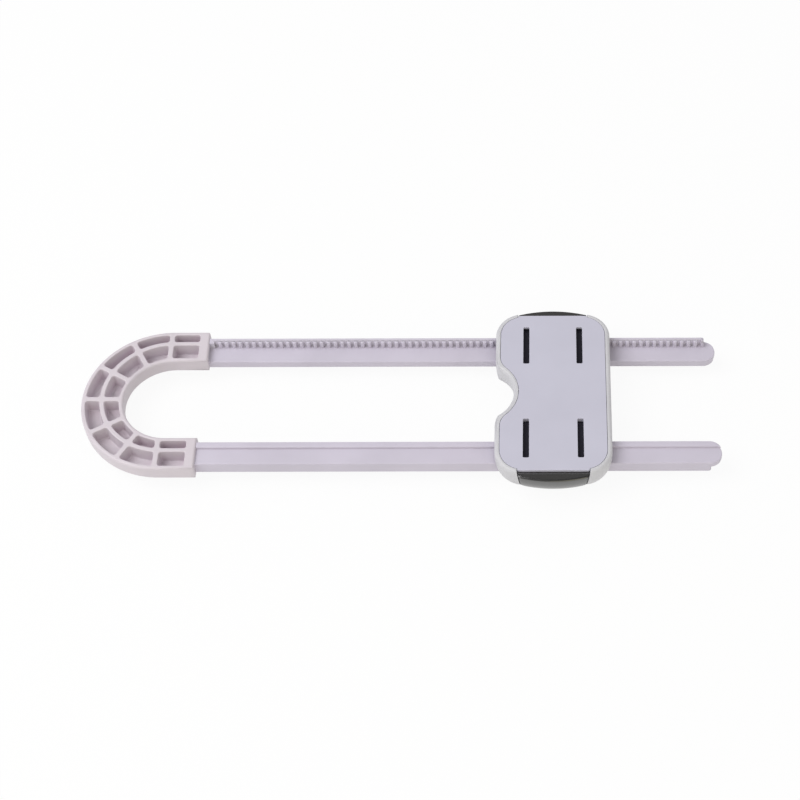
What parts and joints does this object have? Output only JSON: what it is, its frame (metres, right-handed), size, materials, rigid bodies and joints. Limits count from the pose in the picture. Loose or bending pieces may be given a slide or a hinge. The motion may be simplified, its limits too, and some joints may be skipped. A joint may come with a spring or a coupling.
{
  "type": "cabinet safety lock",
  "caption": "Sliding U-shaped lock that joins two cabinet knobs; the body runs along toothed legs and two side buttons free it.",
  "frame": {"origin": "centre of the bounding box in X and Y, at the front face of the lock body in Z", "axes": "+X from the bow to the leg tips, +Y to the leg whose rack shows from the back, +Z out of the flat back plate"},
  "size_m": [0.22, 0.071, 0.016],
  "materials": {
    "bow_plastic": "soft satin moulded plastic, warm pale lilac grey",
    "leg_plastic": "satin moulded plastic, pale lilac grey",
    "shell_plastic": "satin moulded plastic, pale grey",
    "plate_plastic": "satin moulded plastic, pale bluish grey",
    "button_plastic": "satin moulded plastic, dark warm grey",
    "spring_steel": "drawn spring wire"
  },
  "bodies": {
    "u_bar": {"bow": "bow_plastic", "upper_leg": "leg_plastic", "lower_leg": "leg_plastic"},
    "lock_body": {"front_shell": "shell_plastic", "back_plate": "plate_plastic", "upper_spring": "spring_steel", "lower_spring": "spring_steel"},
    "upper_button": {"upper_button": "button_plastic"},
    "lower_button": {"lower_button": "button_plastic"}
  },
  "joints": [
    {"name": "lock_slide", "type": "slide", "parent": "u_bar", "child": "lock_body", "axis": [1, 0, 0], "range_m": [-0.1008, 0.0864]},
    {"name": "upper_button_press", "type": "slide", "parent": "lock_body", "child": "upper_button", "axis": [0, -1, 0], "range_m": [0, 0.0018], "stiffness_N_per_m": 500, "springref_m": -0.003, "deforming": ["upper_spring"]},
    {"name": "lower_button_press", "type": "slide", "parent": "lock_body", "child": "lower_button", "axis": [0, 1, 0], "range_m": [0, 0.0018], "stiffness_N_per_m": 500, "springref_m": -0.003, "deforming": ["lower_spring"]}
  ]
}
